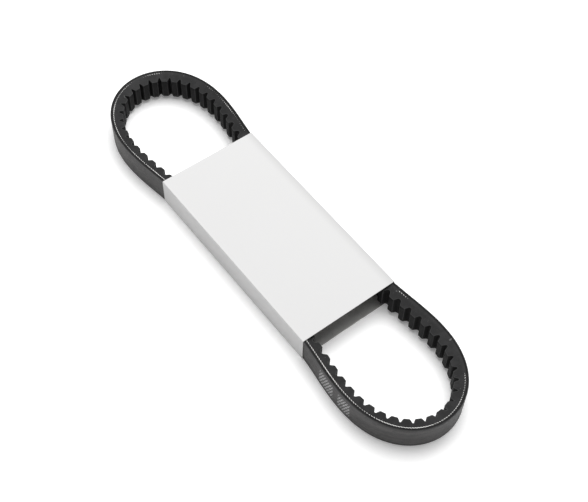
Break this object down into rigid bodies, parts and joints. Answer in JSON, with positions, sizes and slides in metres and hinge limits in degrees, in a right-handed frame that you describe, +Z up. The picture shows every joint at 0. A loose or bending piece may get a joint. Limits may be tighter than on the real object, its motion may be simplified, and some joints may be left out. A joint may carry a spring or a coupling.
{
  "type": "cogged v belt in card sleeve",
  "caption": "Raw-edge cogged V belt lying on its side as a long loop, held in a folded card sleeve that slides off over either end.",
  "frame": {"origin": "on the surface it lies on, under the middle of the belt's loop", "axes": "+X along the loop, from the rounder end to the slightly tighter one; +Y across the loop; +Z up, across the belt's width"},
  "size_m": [0.3287, 0.0792, 0.0209],
  "materials": {
    "back_cover": "matte",
    "overcord": "matte",
    "adhesion": "matte",
    "cord": "matte",
    "compression": "matte",
    "facing": "matte",
    "card": "matte",
    "glue": "matte"
  },
  "bodies": {
    "belt": {"back_fabric": "back_cover", "overcord_rubber": "overcord", "adhesion_rubber_upper": "adhesion", "tensile_cord": "cord", "adhesion_rubber_lower": "adhesion", "compression_rubber": "compression", "cog_facing_fabric": "facing"},
    "sleeve": {"sleeve_card": "card", "sleeve_glue": "glue"}
  },
  "joints": [
    {"name": "sleeve_slide", "type": "slide", "parent": "belt", "child": "sleeve", "axis": [1, 0, 0], "range_m": [-0.243, 0.243], "deforming": ["back_fabric", "overcord_rubber", "adhesion_rubber_upper", "tensile_cord", "adhesion_rubber_lower", "compression_rubber", "cog_facing_fabric"]}
  ]
}
